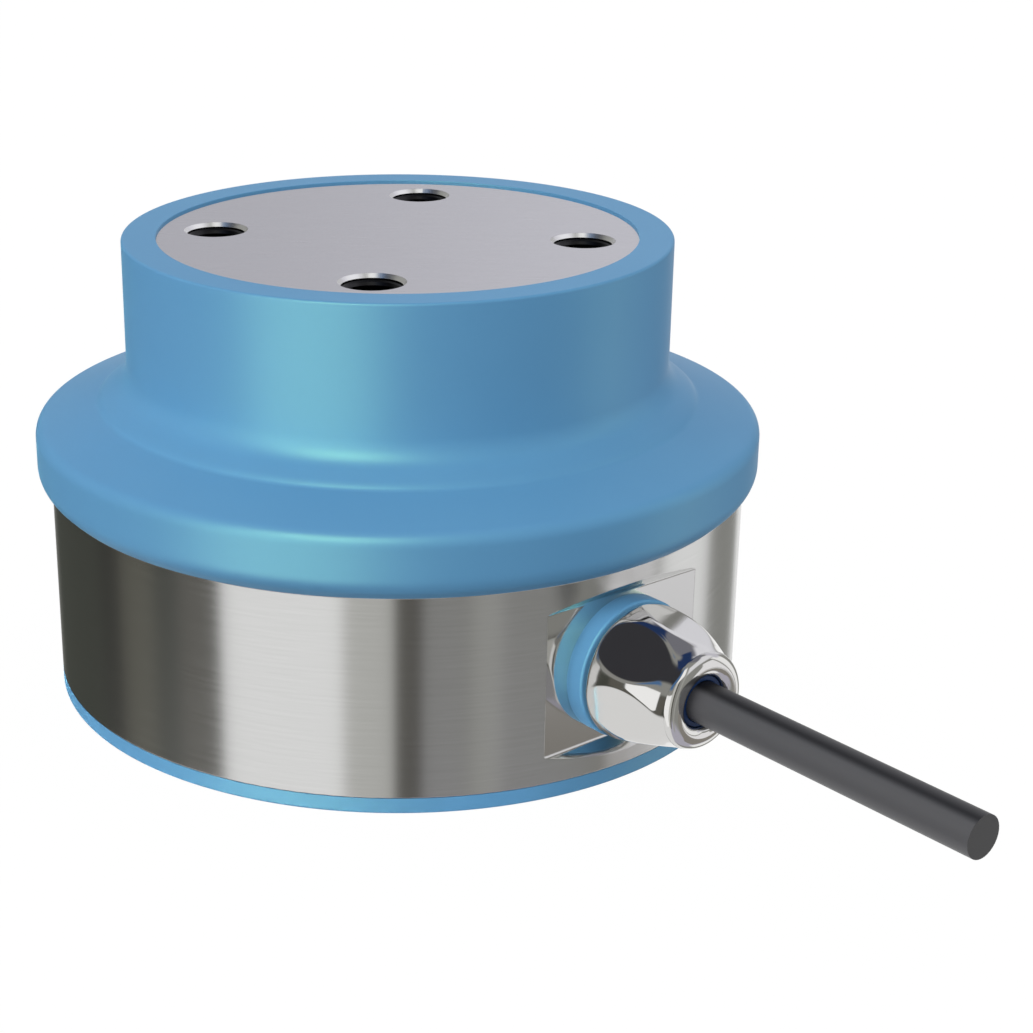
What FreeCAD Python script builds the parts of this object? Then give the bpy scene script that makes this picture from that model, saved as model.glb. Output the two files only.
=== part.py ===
import FreeCAD, Part
import math
import os

# Strain gauge load cell. A turned stainless cup holds a bending beam with two
# bores, and a round load plate stands over it in a blue silicone boot.
# The load axis is Z and the underside stands at Z = 0. Pieces are drawn with
# the cable gland along +X and the beam along Y, then turned to GLAND_AZIMUTH.
# Lengths are in millimetres and angles in degrees.

GLAND_AZIMUTH = -52.3

# Housing: floor, wall, and the step that holds the foot gasket
BODY_RADIUS = 45.0
WALL = 7.5
FLOOR_THICKNESS = 8.0
FLOOR_FILLET = 1.5
FOOT_GASKET_HEIGHT = 2.0
FOOT_GASKET_WIDTH = 4.0
FOOT_BEAD_DEPTH = 0.6
FOOT_BEAD_HEIGHT = 0.8
EDGE_BREAK = 0.3
FINE_EDGE_BREAK = 0.1

# Side pocket, a polished flat with sloped ends around the gland
POCKET_DEPTH = 1.6
POCKET_HEIGHT = 18.3
POCKET_SLOPE = 45.0
POCKET_CORNER_ROUND = 0.5

# Cable gland, measured along its own axis from the pocket's flat
GLAND_RISE = 6.6
GLAND_GASKET_RADIUS = 8.58
GLAND_GASKET_THICKNESS = 2.45
GLAND_THREAD_RADIUS = 6.0
GLAND_INNER_REACH = 7.4
GLAND_BORE_CLEARANCE = 0.2
GLAND_COLLAR_RADIUS = 7.0
GLAND_COLLAR_THICKNESS = 1.5
GLAND_STUB_RADIUS = 5.4
GLAND_STUB_LENGTH = 7.15
CAP_SEAL_THICKNESS = 0.8
SEAL_RADIUS = 4.2
SEAL_LENGTH = 5.5
SEAL_STANDS_OUT = 1.0
SEAL_NOSE_LENGTH = 3.0
SEAL_NOSE_CLEARANCE = 0.05
CAP_LENGTH = 11.95
CAP_RADIUS = 8.45
CAP_BACK_ROUND = 1.0
CAP_DOME_START = 4.77
CAP_DOME_ROUND = 15.4
CAP_WAIST_AT = 10.05
CAP_WAIST_RADIUS = 6.08
CAP_WAIST_ROUND = 6.0
CAP_RIM_RADIUS = 5.8
CAP_RIM_ROUND = 1.5
CAP_MOUTH_ROUND = 0.5
CABLE_HOLE_RADIUS = 3.2
SPANNER_FLATS = 6
FLAT_RADIUS_AT_BACK = 8.35
FLAT_SLOPE = 12.7
FLAT_TURN = 13.5

# Cable and its cores
CABLE_RADIUS = 2.5
CABLE_FREE_LENGTH = 38.7
CABLE_INSIDE = 2.0
CORE_RADIUS = 0.6
CORE_SPACING = 1.6
CORE_BEND = 1.2

# Beam, bolted down at one end and loaded at the other
BEAM_PAD_HEIGHT = 3.0
BEAM_WIDTH = 24.0
BEAM_HEIGHT = 18.0
BEAM_BORE_RADIUS = 7.0
BEAM_BORE_SPACING = 18.0
BEAM_SLOT_HEIGHT = 5.0
BEAM_CORNERS_TO_WALL = 2.4
GAUGE_TO_SEAT = 2.0

# Screws that hold the beam to the floor, put in from underneath
BEAM_SCREW_RADIUS = 3.0
BEAM_SCREW_HEAD_RADIUS = 5.0
BEAM_SCREW_HEAD_HEIGHT = 6.0
BEAM_SCREW_SPACING = 13.0
BEAM_SCREW_FROM_END = 9.0
BEAM_SCREW_GRIP = 10.0
BEAM_SCREW_SUNK = 0.4
SCREW_SEAL_THICKNESS = 0.8
HEAD_CLEARANCE = 0.4
HOLE_CLEARANCE = 0.3
SOCKET_SHARE_OF_HEAD = 0.5

# Load carrier between the beam's free end and the load plate
CARRIER_WIDTH = 19.0
CARRIER_FOOT_HEIGHT = 6.0
CARRIER_FOOT_LENGTH = 13.0
CARRIER_RELIEF = 1.5
CARRIER_TAIL = 12.0
CARRIER_HEIGHT = 17.2
CARRIER_POST_RADIUS = 9.0
CARRIER_POST_FILLET = 1.0
CARRIER_FLANGE_RADIUS = 19.0
CARRIER_FLANGE_THICKNESS = 5.0
CARRIER_SCREW_RADIUS = 2.5
CARRIER_SCREW_HEAD_RADIUS = 4.25
CARRIER_SCREW_HEAD_HEIGHT = 5.0
CARRIER_SCREW_SPACING = 11.0
CARRIER_SCREW_SUNK = 6.2
PLATE_SCREW_CIRCLE = 14.5
PLATE_SCREW_ANGLE = 30.0
PLATE_SCREW_GRIP = 6.0

# Load plate with four tapped holes
PLATE_RADIUS = 30.48
PLATE_THICKNESS = 12.0
PLATE_GROOVE_DEPTH = 1.2
PLATE_GROOVE_HEIGHT = 3.0
PLATE_GROOVE_FROM_TOP = 4.2
LOAD_HOLES = 4
LOAD_HOLE_CIRCLE = 46.86
LOAD_HOLE_RADIUS = 3.4
LOAD_HOLE_DEPTH = 8.5
LOAD_HOLE_MOUTH_RADIUS = 4.1
LOAD_HOLE_MOUTH_DEPTH = 0.9
DRILL_POINT_ANGLE = 118.0

# Silicone boot, from its rim around the plate down to the skirt
BOOT_RIM_PROUD = 0.5
BOOT_RIM_ROUND = 0.35
NECK_RADIUS = 34.85
NECK_WALL = 2.45
NECK_FOOT_ROUND = 3.6
SHOULDER_RADIUS = 38.2
SHOULDER_ROUND = 2.0
SHOULDER_RISE = 4.4
SHOULDER_STEP = 0.6
SHOULDER_STEP_WIDTH = 0.5
SHOULDER_FALL = 2.35
FLANGE_OVERHANG = 1.73
FLANGE_HEIGHT = 7.9
FLANGE_TOP_ROUND = 1.8
FLANGE_LOW_ROUND = 3.0
FLANGE_LOW_EDGE_RISE = 1.6
SKIRT_REBATE = 1.4
SKIRT_GRIP = 3.2
LIP_WIDTH = 2.0
LIP_THICKNESS = 1.5
BOOT_SEAT_WIDTH = 3.6
BOOT_CORNER_RISE = 2.2
BOOT_CORNER_INSET = 1.05
BOOT_INNER_ROUND = 2.5
BOOT_FLEX_RISE = 6.5

# Cover ring that clamps the boot's lip
COVER_HEADROOM = 3.0
COVER_THICKNESS = 2.0
COVER_RUNNING_GAP = 0.52
COVER_SCREWS = 6
COVER_SCREW_RADIUS = 1.5
COVER_SCREW_HEAD_RADIUS = 3.0
COVER_SCREW_FROM_CAVITY = 2.1
COVER_SCREW_GRIP = 6.0

# Fixing holes underneath, and the overload stop
BASE_HOLES = 4
BASE_HOLE_CIRCLE = 60.0
BASE_HOLE_RADIUS = 2.5
BASE_HOLE_DEPTH = 6.0
STOP_SCREW_RADIUS = 3.0
STOP_SCREW_FROM_END = 4.5
STOP_GAP = 0.2
STOP_SUNK = 0.8
STOP_SOCKET_RADIUS = 1.5
STOP_SOCKET_DEPTH = 2.5

# Strain gauges and their leads
GAUGE_LENGTH = 9.0
GAUGE_WIDTH = 6.0
GAUGE_THICKNESS = 0.15
LEAD_RADIUS = 0.3
LEAD_SPACING = 1.8
LEAD_BEND = 2.0
LEAD_ON_GAUGE = 1.0
LEAD_ON_BOARD = 2.0

# Circuit board on four spacers, with its parts
BOARD_FROM_BEAM = 2.5
BOARD_FROM_WALL = 4.5
BOARD_CORNERS_TO_WALL = 1.5
BOARD_WIDTH = 48.0
BOARD_THICKNESS = 1.6
SPACER_HEIGHT = 2.0
SPACER_RADIUS = 2.5
BOARD_SCREW_RADIUS = 1.25
BOARD_SCREW_HEAD_RADIUS = 2.2
BOARD_SCREW_HEAD_HEIGHT = 1.6
BOARD_SCREW_GRIP = 4.0
BOARD_SCREW_INSET = 3.5
BOARD_SCREW_OUTER_HALF = 13.0
BOARD_SCREW_INNER_HALF = 20.0
TERMINAL_LENGTH = 6.5
TERMINAL_HEIGHT = 8.4
TERMINAL_PITCH = 3.8
TERMINAL_POLES = 4
TERMINAL_FROM_EDGE = 6.5
TERMINAL_ENTRY_RADIUS = 1.3
TERMINAL_ENTRY_DEPTH = 4.0
TERMINAL_SCREW_RADIUS = 1.4
TERMINAL_SCREW_HEIGHT = 1.6
TERMINAL_SCREW_SUNK = 0.4
CHIP_SIZE = 6.0
CHIP_HEIGHT = 1.2
CHIP_TO_SCREW_HEAD = 0.55
RESISTOR_LENGTH = 2.0
RESISTOR_WIDTH = 1.2
RESISTOR_HEIGHT = 0.6
RESISTOR_PITCH = 3.0
RESISTOR_GAP = 0.7

# Levels and radii that follow from the sizes above
CAVITY_RADIUS = BODY_RADIUS - WALL
FOOT_SPIGOT_RADIUS = BODY_RADIUS - FOOT_GASKET_WIDTH
FLAT_DISTANCE = BODY_RADIUS - POCKET_DEPTH
GLAND_HEIGHT = FLOOR_THICKNESS + GLAND_RISE
BEAM_BOTTOM = FLOOR_THICKNESS + BEAM_PAD_HEIGHT
BEAM_TOP = BEAM_BOTTOM + BEAM_HEIGHT
BEAM_LENGTH = 2 * math.sqrt((CAVITY_RADIUS - BEAM_CORNERS_TO_WALL) ** 2 - (BEAM_WIDTH / 2) ** 2)
BEAM_SEAT_EDGE = BEAM_BORE_SPACING / 2 + GAUGE_LENGTH / 2 + GAUGE_TO_SEAT
PLATE_BOTTOM = BEAM_TOP + CARRIER_HEIGHT
PLATE_TOP = PLATE_BOTTOM + PLATE_THICKNESS
LAND_TOP = BEAM_TOP + COVER_HEADROOM
COVER_TOP = LAND_TOP + COVER_THICKNESS
COVER_OPENING_RADIUS = PLATE_RADIUS + COVER_RUNNING_GAP
LIP_BOTTOM = LAND_TOP - LIP_THICKNESS
SKIRT_BOTTOM = LIP_BOTTOM - SKIRT_GRIP
REBATE_RADIUS = BODY_RADIUS - SKIRT_REBATE
LIP_RADIUS = REBATE_RADIUS - LIP_WIDTH
FLANGE_RADIUS = BODY_RADIUS + FLANGE_OVERHANG
PLATE_GROOVE_TOP = PLATE_TOP - PLATE_GROOVE_FROM_TOP
PLATE_GROOVE_BOTTOM = PLATE_GROOVE_TOP - PLATE_GROOVE_HEIGHT
CAP_BACK = FLAT_DISTANCE + GLAND_GASKET_THICKNESS
CAP_FRONT = CAP_BACK + CAP_LENGTH
COLLAR_FRONT = CAP_BACK + GLAND_COLLAR_THICKNESS
STUB_FRONT = CAP_BACK + GLAND_STUB_LENGTH
SEAL_FRONT = STUB_FRONT + SEAL_STANDS_OUT
SEAL_BACK = SEAL_FRONT - SEAL_LENGTH
GLAND_INNER_END = FLAT_DISTANCE - GLAND_INNER_REACH
CABLE_INNER_END = GLAND_INNER_END - CABLE_INSIDE
CABLE_OUTER_END = CAP_FRONT + CABLE_FREE_LENGTH
BEAM_FIXED_SCREW_Y = BEAM_SCREW_FROM_END - BEAM_LENGTH / 2
CARRIER_SCREW_Y = BEAM_SEAT_EDGE + CARRIER_FOOT_LENGTH / 2
BEAM_SCREW_SEAT = BEAM_SCREW_SUNK + BEAM_SCREW_HEAD_HEIGHT + SCREW_SEAL_THICKNESS
BOARD_START = BEAM_WIDTH / 2 + BOARD_FROM_BEAM
BOARD_END = CAVITY_RADIUS - BOARD_FROM_WALL
BOARD_BOTTOM = FLOOR_THICKNESS + SPACER_HEIGHT
BOARD_TOP = BOARD_BOTTOM + BOARD_THICKNESS
TERMINAL_FRONT = BOARD_END - TERMINAL_FROM_EDGE
TERMINAL_HALF_WIDTH = TERMINAL_POLES * TERMINAL_PITCH / 2
RESISTOR_OFFSET = TERMINAL_HALF_WIDTH + RESISTOR_GAP + RESISTOR_LENGTH / 2
CHIP_OFFSET = RESISTOR_OFFSET + RESISTOR_LENGTH / 2 + RESISTOR_GAP + CHIP_SIZE / 2
CHIP_MIDDLE = BOARD_END - BOARD_SCREW_INSET - BOARD_SCREW_HEAD_RADIUS - CHIP_TO_SCREW_HEAD - CHIP_SIZE / 2
GAUGE_ROWS = (-BEAM_BORE_SPACING / 2, BEAM_BORE_SPACING / 2)


def vec(x, y, z):
    return FreeCAD.Vector(x, y, z)


def rounded_wire(corners):
    """Closed wire through (point, rounding) corners. Each arc is tangent to both its sides."""
    bends = []
    for index, (point, rounding) in enumerate(corners):
        if rounding == 0:
            bends.append((point, None, point))
            continue
        back = (corners[index - 1][0] - point).normalize()
        onward = (corners[(index + 1) % len(corners)][0] - point).normalize()
        half = back.getAngle(onward) / 2
        reach = rounding / math.tan(half)
        middle = point + (back + onward).normalize() * (rounding / math.sin(half) - rounding)
        bends.append((point + back * reach, middle, point + onward * reach))
    edges = []
    for index, (start, middle, end) in enumerate(bends):
        if middle is not None:
            edges.append(Part.Arc(start, middle, end).toShape())
        following = bends[(index + 1) % len(bends)][0]
        edges.append(Part.LineSegment(end, following).toShape())
    return Part.Wire(edges)


def with_rounding(corner):
    """(a, b) or (a, b, rounding) as three numbers."""
    return corner if len(corner) == 3 else (corner[0], corner[1], 0)


def turned(*corners):
    """Solid turned about the load axis from (radius, height) corners."""
    points = [(vec(r, 0, z), rounding) for r, z, rounding in map(with_rounding, corners)]
    return Part.Face(rounded_wire(points)).revolve(vec(0, 0, 0), vec(0, 0, 1), 360)


def gland_turned(*corners):
    """Solid turned about the gland's axis from (distance, radius) corners."""
    points = [(vec(s, 0, GLAND_HEIGHT + r), rounding) for s, r, rounding in map(with_rounding, corners)]
    return Part.Face(rounded_wire(points)).revolve(vec(0, 0, GLAND_HEIGHT), vec(1, 0, 0), 360)


def upright(radius, low, high, x=0, y=0):
    """Upright cylinder between two heights."""
    return Part.makeCylinder(radius, high - low, vec(x, y, low))


def upright_cone(low_radius, high_radius, low, high, x=0, y=0):
    return Part.makeCone(low_radius, high_radius, high - low, vec(x, y, low))


def block(x_low, x_high, y_low, y_high, z_low, z_high):
    return Part.makeBox(x_high - x_low, y_high - y_low, z_high - z_low, vec(x_low, y_low, z_low))


def around(shape, count, first=0):
    """Copies of a shape evenly spaced about the load axis."""
    copies = []
    for index in range(count):
        copy = shape.copy()
        copy.rotate(vec(0, 0, 0), vec(0, 0, 1), first + index * 360 / count)
        copies.append(copy)
    return copies


def rod(points, radius, bend):
    """Round rod along straight runs joined by tangent arcs of the radius bend."""
    path = []
    start = points[0]
    for corner, following in zip(points[1:-1], points[2:]):
        back = (start - corner).normalize()
        onward = (following - corner).normalize()
        half = back.getAngle(onward) / 2
        reach = bend / math.tan(half)
        middle = corner + (back + onward).normalize() * (bend / math.sin(half) - bend)
        path.append(Part.LineSegment(start, corner + back * reach).toShape())
        path.append(Part.Arc(corner + back * reach, middle, corner + onward * reach).toShape())
        start = corner + onward * reach
    path.append(Part.LineSegment(start, points[-1]).toShape())
    section = Part.Wire(Part.Circle(points[0], points[1] - points[0], radius).toShape())
    return Part.Wire(path).makePipeShell([section], True, True)


def hex_socket(radius, low, high, x, y):
    """Hexagonal key socket, as the prism that is cut away. radius is half its width across flats."""
    corner = radius / math.cos(math.radians(30))
    points = [vec(x + corner * math.cos(math.radians(60 * k)), y + corner * math.sin(math.radians(60 * k)), low)
              for k in range(7)]
    return Part.Face(Part.makePolygon(points)).extrude(vec(0, 0, high - low))


def cap_screw_up(x, y, head_bottom, head_radius, head_height, shank_radius, tip):
    """Socket head cap screw that points up, its key socket underneath."""
    head = upright(head_radius, head_bottom, head_bottom + head_height, x, y)
    shank = upright(shank_radius, head_bottom + head_height, tip, x, y)
    socket_top = head_bottom + head_height * SOCKET_SHARE_OF_HEAD
    socket = hex_socket(head_radius * SOCKET_SHARE_OF_HEAD, head_bottom, socket_top, x, y)
    return head.fuse(shank).cut(socket).removeSplitter()


def beam_screw_places():
    return [(side * BEAM_SCREW_SPACING / 2, BEAM_FIXED_SCREW_Y) for side in (-1, 1)]


def carrier_screw_places():
    return [(side * CARRIER_SCREW_SPACING / 2, CARRIER_SCREW_Y) for side in (-1, 1)]


def plate_screw_places():
    places = []
    for angle in (PLATE_SCREW_ANGLE, 180 - PLATE_SCREW_ANGLE, 180 + PLATE_SCREW_ANGLE, 360 - PLATE_SCREW_ANGLE):
        turn = math.radians(angle)
        places.append((PLATE_SCREW_CIRCLE * math.cos(turn), PLATE_SCREW_CIRCLE * math.sin(turn)))
    return places


def board_screw_places():
    inner = BOARD_START + BOARD_SCREW_INSET
    outer = BOARD_END - BOARD_SCREW_INSET
    places = [(inner, side * BOARD_SCREW_INNER_HALF) for side in (-1, 1)]
    return places + [(outer, side * BOARD_SCREW_OUTER_HALF) for side in (-1, 1)]


def stop_screw_y():
    return BEAM_LENGTH / 2 - STOP_SCREW_FROM_END


def pole_offsets():
    middle = (TERMINAL_POLES - 1) / 2
    return [(pole - middle) * TERMINAL_PITCH for pole in range(TERMINAL_POLES)]


def pocket_cutter():
    """Flat-bottomed pocket whose roof and floor slope away from the gland."""
    out = POCKET_DEPTH + EDGE_BREAK
    spread = out * math.tan(math.radians(POCKET_SLOPE))
    low = GLAND_HEIGHT - POCKET_HEIGHT / 2
    high = GLAND_HEIGHT + POCKET_HEIGHT / 2
    corners = [(vec(FLAT_DISTANCE, -BODY_RADIUS, low), POCKET_CORNER_ROUND),
               (vec(FLAT_DISTANCE, -BODY_RADIUS, high), POCKET_CORNER_ROUND),
               (vec(FLAT_DISTANCE + out, -BODY_RADIUS, high + spread), 0),
               (vec(FLAT_DISTANCE + out, -BODY_RADIUS, low - spread), 0)]
    return Part.Face(rounded_wire(corners)).extrude(vec(0, 2 * BODY_RADIUS, 0))


def blind_hole_up(radius, depth, x, y):
    """Drilled hole that opens at the underside, with its drill point."""
    point = radius / math.tan(math.radians(DRILL_POINT_ANGLE / 2))
    return upright(radius, 0, depth, x, y).fuse(upright_cone(radius, 0, depth, depth + point, x, y))


def housing():
    cup = turned(
        (0, 0), (FOOT_SPIGOT_RADIUS, 0),
        (FOOT_SPIGOT_RADIUS, FOOT_GASKET_HEIGHT / 2 - FOOT_BEAD_HEIGHT / 2),
        (FOOT_SPIGOT_RADIUS - FOOT_BEAD_DEPTH, FOOT_GASKET_HEIGHT / 2 - FOOT_BEAD_HEIGHT / 2),
        (FOOT_SPIGOT_RADIUS - FOOT_BEAD_DEPTH, FOOT_GASKET_HEIGHT / 2 + FOOT_BEAD_HEIGHT / 2),
        (FOOT_SPIGOT_RADIUS, FOOT_GASKET_HEIGHT / 2 + FOOT_BEAD_HEIGHT / 2),
        (FOOT_SPIGOT_RADIUS, FOOT_GASKET_HEIGHT),
        (BODY_RADIUS, FOOT_GASKET_HEIGHT, FINE_EDGE_BREAK),
        (BODY_RADIUS, SKIRT_BOTTOM), (REBATE_RADIUS, SKIRT_BOTTOM),
        (REBATE_RADIUS, LIP_BOTTOM), (LIP_RADIUS, LIP_BOTTOM), (LIP_RADIUS, LAND_TOP),
        (CAVITY_RADIUS, LAND_TOP), (CAVITY_RADIUS, FLOOR_THICKNESS, FLOOR_FILLET), (0, FLOOR_THICKNESS))
    pad = block(-BEAM_WIDTH / 2, BEAM_WIDTH / 2, -BODY_RADIUS, -BEAM_SEAT_EDGE,
                FLOOR_THICKNESS / 2, BEAM_BOTTOM)
    pad = pad.common(upright(CAVITY_RADIUS + WALL / 2, 0, LAND_TOP))
    shape = cup.fuse(pad)
    cuts = [pocket_cutter()]
    gland_hole_end = CAVITY_RADIUS - WALL
    cuts.append(Part.makeCylinder(GLAND_THREAD_RADIUS, BODY_RADIUS - gland_hole_end,
                                  vec(gland_hole_end, 0, GLAND_HEIGHT), vec(1, 0, 0)))
    for x, y in beam_screw_places():
        cuts.append(upright(BEAM_SCREW_HEAD_RADIUS + HEAD_CLEARANCE, 0, BEAM_SCREW_SEAT, x, y))
        cuts.append(upright(BEAM_SCREW_RADIUS + HOLE_CLEARANCE, 0, BEAM_BOTTOM, x, y))
    cuts += around(blind_hole_up(BASE_HOLE_RADIUS, BASE_HOLE_DEPTH, BASE_HOLE_CIRCLE / 2, 0), BASE_HOLES, 45)
    cuts.append(upright(STOP_SCREW_RADIUS, 0, FLOOR_THICKNESS, 0, stop_screw_y()))
    for x, y in board_screw_places():
        cuts.append(upright(BOARD_SCREW_RADIUS, FLOOR_THICKNESS - BOARD_SCREW_GRIP, FLOOR_THICKNESS, x, y))
    screw_circle = CAVITY_RADIUS + COVER_SCREW_FROM_CAVITY
    cuts += around(upright(COVER_SCREW_RADIUS, LAND_TOP - COVER_SCREW_GRIP, LAND_TOP, screw_circle, 0),
                   COVER_SCREWS)
    return shape.cut(cuts).removeSplitter()


def foot_gasket():
    """Flat ring under the body, snapped into a groove by its inner bead."""
    inner = BODY_RADIUS - FOOT_GASKET_WIDTH
    bead_low = FOOT_GASKET_HEIGHT / 2 - FOOT_BEAD_HEIGHT / 2
    bead_high = FOOT_GASKET_HEIGHT / 2 + FOOT_BEAD_HEIGHT / 2
    return turned(
        (inner, 0), (BODY_RADIUS, 0, EDGE_BREAK), (BODY_RADIUS, FOOT_GASKET_HEIGHT), (inner, FOOT_GASKET_HEIGHT),
        (inner, bead_high), (inner - FOOT_BEAD_DEPTH, bead_high), (inner - FOOT_BEAD_DEPTH, bead_low),
        (inner, bead_low))


def boot():
    """Moulded silicone: rim and bead on the plate, thin neck, flange, skirt and clamped lip."""
    rim_top = PLATE_TOP + BOOT_RIM_PROUD
    neck_inner = NECK_RADIUS - NECK_WALL
    shoulder = COVER_TOP + SHOULDER_RISE
    step_foot = shoulder - SHOULDER_STEP
    flex_foot = COVER_TOP + BOOT_FLEX_RISE
    seat_inner = REBATE_RADIUS - BOOT_SEAT_WIDTH
    return turned(
        (PLATE_RADIUS, rim_top, FINE_EDGE_BREAK), (NECK_RADIUS, rim_top, BOOT_RIM_ROUND),
        (NECK_RADIUS, shoulder + SHOULDER_FALL, NECK_FOOT_ROUND),
        (SHOULDER_RADIUS, shoulder, SHOULDER_ROUND),
        (SHOULDER_RADIUS + SHOULDER_STEP_WIDTH, step_foot),
        (FLANGE_RADIUS, SKIRT_BOTTOM + FLANGE_HEIGHT, FLANGE_TOP_ROUND),
        (FLANGE_RADIUS, SKIRT_BOTTOM + FLANGE_LOW_EDGE_RISE, FLANGE_LOW_ROUND),
        (BODY_RADIUS, SKIRT_BOTTOM), (REBATE_RADIUS, SKIRT_BOTTOM),
        (REBATE_RADIUS, LIP_BOTTOM), (LIP_RADIUS, LIP_BOTTOM), (LIP_RADIUS, LAND_TOP),
        (REBATE_RADIUS, LAND_TOP), (REBATE_RADIUS, COVER_TOP), (seat_inner, COVER_TOP),
        (NECK_RADIUS + BOOT_CORNER_INSET, COVER_TOP + BOOT_CORNER_RISE, BOOT_INNER_ROUND),
        (neck_inner, flex_foot, BOOT_INNER_ROUND), (neck_inner, PLATE_BOTTOM), (PLATE_RADIUS, PLATE_BOTTOM),
        (PLATE_RADIUS, PLATE_GROOVE_BOTTOM), (PLATE_RADIUS - PLATE_GROOVE_DEPTH, PLATE_GROOVE_BOTTOM),
        (PLATE_RADIUS - PLATE_GROOVE_DEPTH, PLATE_GROOVE_TOP), (PLATE_RADIUS, PLATE_GROOVE_TOP))


def load_plate():
    plate = turned(
        (0, PLATE_BOTTOM), (PLATE_RADIUS, PLATE_BOTTOM), (PLATE_RADIUS, PLATE_GROOVE_BOTTOM),
        (PLATE_RADIUS - PLATE_GROOVE_DEPTH, PLATE_GROOVE_BOTTOM),
        (PLATE_RADIUS - PLATE_GROOVE_DEPTH, PLATE_GROOVE_TOP),
        (PLATE_RADIUS, PLATE_GROOVE_TOP), (PLATE_RADIUS, PLATE_TOP, FINE_EDGE_BREAK), (0, PLATE_TOP))
    bottom = PLATE_TOP - LOAD_HOLE_DEPTH
    point = LOAD_HOLE_RADIUS / math.tan(math.radians(DRILL_POINT_ANGLE / 2))
    at = LOAD_HOLE_CIRCLE / 2
    hole = upright(LOAD_HOLE_RADIUS, bottom, PLATE_TOP, at)
    hole = hole.fuse(upright_cone(0, LOAD_HOLE_RADIUS, bottom - point, bottom, at))
    hole = hole.fuse(upright_cone(LOAD_HOLE_RADIUS, LOAD_HOLE_MOUTH_RADIUS,
                                  PLATE_TOP - LOAD_HOLE_MOUTH_DEPTH, PLATE_TOP, at))
    cuts = around(hole, LOAD_HOLES, 45)
    for x, y in plate_screw_places():
        cuts.append(upright(CARRIER_SCREW_RADIUS, PLATE_BOTTOM, PLATE_BOTTOM + PLATE_SCREW_GRIP, x, y))
    return plate.cut(cuts).removeSplitter()


def cover_ring():
    ring = upright(REBATE_RADIUS, LAND_TOP, COVER_TOP).cut(upright(COVER_OPENING_RADIUS, LAND_TOP, COVER_TOP))
    return ring.cut(cover_screws()).removeSplitter()


def cover_screws():
    """Countersunk screws, flush with the ring."""
    at = CAVITY_RADIUS + COVER_SCREW_FROM_CAVITY
    head_height = COVER_SCREW_HEAD_RADIUS - COVER_SCREW_RADIUS
    shank = upright(COVER_SCREW_RADIUS, LAND_TOP - COVER_SCREW_GRIP, COVER_TOP - head_height, at)
    head = upright_cone(COVER_SCREW_RADIUS, COVER_SCREW_HEAD_RADIUS, COVER_TOP - head_height, COVER_TOP, at)
    return around(shank.fuse(head), COVER_SCREWS)


def beam():
    """Bar with two bores joined by a slot, which leaves four thin places to bend."""
    half_length = BEAM_LENGTH / 2
    half_width = BEAM_WIDTH / 2
    middle = BEAM_BOTTOM + BEAM_HEIGHT / 2
    bar = block(-half_width, half_width, -half_length, half_length, BEAM_BOTTOM, BEAM_TOP)
    bar = bar.makeChamfer(EDGE_BREAK, [edge for edge in bar.Edges if abs(edge.tangentAt(0).z) > 0.9])
    cuts = [block(-half_width, half_width, GAUGE_ROWS[0], GAUGE_ROWS[1],
                  middle - BEAM_SLOT_HEIGHT / 2, middle + BEAM_SLOT_HEIGHT / 2)]
    for y in GAUGE_ROWS:
        cuts.append(Part.makeCylinder(BEAM_BORE_RADIUS, BEAM_WIDTH, vec(-half_width, y, middle), vec(1, 0, 0)))
    for x, y in beam_screw_places():
        cuts.append(upright(BEAM_SCREW_RADIUS, BEAM_BOTTOM, BEAM_BOTTOM + BEAM_SCREW_GRIP, x, y))
    for x, y in carrier_screw_places():
        cuts.append(upright(CARRIER_SCREW_HEAD_RADIUS + HEAD_CLEARANCE, BEAM_BOTTOM,
                            BEAM_BOTTOM + CARRIER_SCREW_SUNK, x, y))
        cuts.append(upright(CARRIER_SCREW_RADIUS + HOLE_CLEARANCE, BEAM_BOTTOM, BEAM_TOP, x, y))
    return bar.cut(cuts).removeSplitter()


def beam_screws():
    tip = BEAM_BOTTOM + BEAM_SCREW_GRIP
    return [cap_screw_up(x, y, BEAM_SCREW_SUNK, BEAM_SCREW_HEAD_RADIUS, BEAM_SCREW_HEAD_HEIGHT,
                         BEAM_SCREW_RADIUS, tip) for x, y in beam_screw_places()]


def beam_screw_seals():
    """Sealing washers between the screw heads and the floor."""
    rings = []
    for x, y in beam_screw_places():
        outer = upright(BEAM_SCREW_HEAD_RADIUS, BEAM_SCREW_SEAT - SCREW_SEAL_THICKNESS, BEAM_SCREW_SEAT, x, y)
        rings.append(outer.cut(upright(BEAM_SCREW_RADIUS, 0, BEAM_SCREW_SEAT, x, y)))
    return rings


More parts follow.
